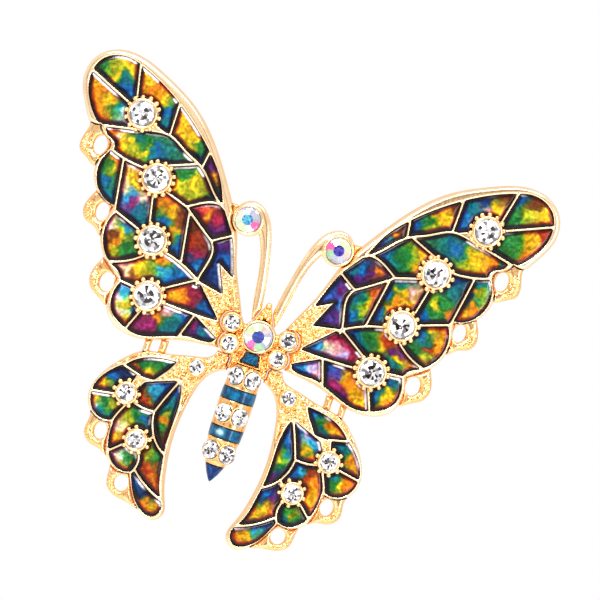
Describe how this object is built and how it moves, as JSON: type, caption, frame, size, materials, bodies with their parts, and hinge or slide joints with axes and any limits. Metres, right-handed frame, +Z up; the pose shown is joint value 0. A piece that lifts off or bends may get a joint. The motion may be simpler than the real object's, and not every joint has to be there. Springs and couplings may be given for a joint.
{
  "type": "butterfly brooch",
  "caption": "Butterfly brooch: gold-coloured cast wings and body with enamel cells and round set stones, on a hinged pin with a rotating safety catch.",
  "frame": {"origin": "on the axis of the closed pin, half way across the brooch", "axes": "+Z up as worn, the decorated face looks along -Y, +X from the pin's hinge to its catch"},
  "size_m": [0.0636, 0.0092, 0.0551],
  "materials": {
    "gold": "polished pale rose-gold plate",
    "finding_gold": "bright plated finding",
    "pin_steel": "polished plated steel wire",
    "enamel_wing": "glossy iridescent enamel, blue to green to gold",
    "enamel_blue": "glossy deep blue enamel",
    "crystal_clear": "foiled clear crystal",
    "crystal_ab": "foiled crystal with an iridescent coating"
  },
  "bodies": {
    "brooch": {"abdomen_enamel_lower": "enamel_blue", "abdomen_enamel_tail": "enamel_blue", "abdomen_enamel_upper": "enamel_blue", "abdomen_stone_lower_left": "crystal_clear", "abdomen_stone_lower_right": "crystal_clear", "abdomen_stone_middle_left": "crystal_clear", "abdomen_stone_middle_right": "crystal_clear", "abdomen_stone_upper_left": "crystal_clear", "abdomen_stone_upper_right": "crystal_clear", "antenna_left": "gold", "antenna_right": "gold", "antenna_stone_left": "crystal_ab", "antenna_stone_right": "crystal_ab", "body_casting": "gold", "catch_base": "finding_gold", "forewing_enamel_leading_left": "enamel_wing", "forewing_enamel_leading_right": "enamel_wing", "forewing_enamel_lower_left": "enamel_wing", "forewing_enamel_lower_right": "enamel_wing", "forewing_enamel_middle_left": "enamel_wing", "forewing_enamel_middle_right": "enamel_wing", "forewing_enamel_outer_left": "enamel_wing", "forewing_enamel_outer_right": "enamel_wing", "forewing_enamel_tip_left": "enamel_wing", "forewing_enamel_tip_right": "enamel_wing", "forewing_frame_left": "gold", "forewing_frame_right": "gold", "forewing_stone_1_left": "crystal_clear", "forewing_stone_1_right": "crystal_clear", "forewing_stone_2_left": "crystal_clear", "forewing_stone_2_right": "crystal_clear", "forewing_stone_3_left": "crystal_clear", "forewing_stone_3_right": "crystal_clear", "forewing_stone_4_left": "crystal_clear", "forewing_stone_4_right": "crystal_clear", "head_stone": "crystal_ab", "hindwing_enamel_lower_left": "enamel_wing", "hindwing_enamel_lower_right": "enamel_wing", "hindwing_enamel_middle_left": "enamel_wing", "hindwing_enamel_middle_right": "enamel_wing", "hindwing_enamel_upper_left": "enamel_wing", "hindwing_enamel_upper_right": "enamel_wing", "hindwing_frame_left": "gold", "hindwing_frame_right": "gold", "hindwing_stone_1_left": "crystal_clear", "hindwing_stone_1_right": "crystal_clear", "hindwing_stone_2_left": "crystal_clear", "hindwing_stone_2_right": "crystal_clear", "hinge_base": "finding_gold", "hinge_rivet": "finding_gold", "neck_enamel": "enamel_blue", "root_stone_left": "crystal_clear", "root_stone_right": "crystal_clear", "thorax_stone_lower_left": "crystal_clear", "thorax_stone_lower_right": "crystal_clear", "thorax_stone_upper_left": "crystal_clear", "thorax_stone_upper_right": "crystal_clear"},
    "pin_stem": {"pin_stem": "pin_steel"},
    "catch_lock": {"catch_lock": "finding_gold"}
  },
  "joints": [
    {"name": "pin_hinge", "type": "hinge", "parent": "brooch", "child": "pin_stem", "pos_m": [-0.0135, 0, 0], "axis": [0, 0, 1], "range_deg": [0, 75]},
    {"name": "catch_turn", "type": "hinge", "parent": "brooch", "child": "catch_lock", "pos_m": [0.0135, 0, 0], "axis": [1, 0, 0], "range_deg": [0, 100]}
  ]
}
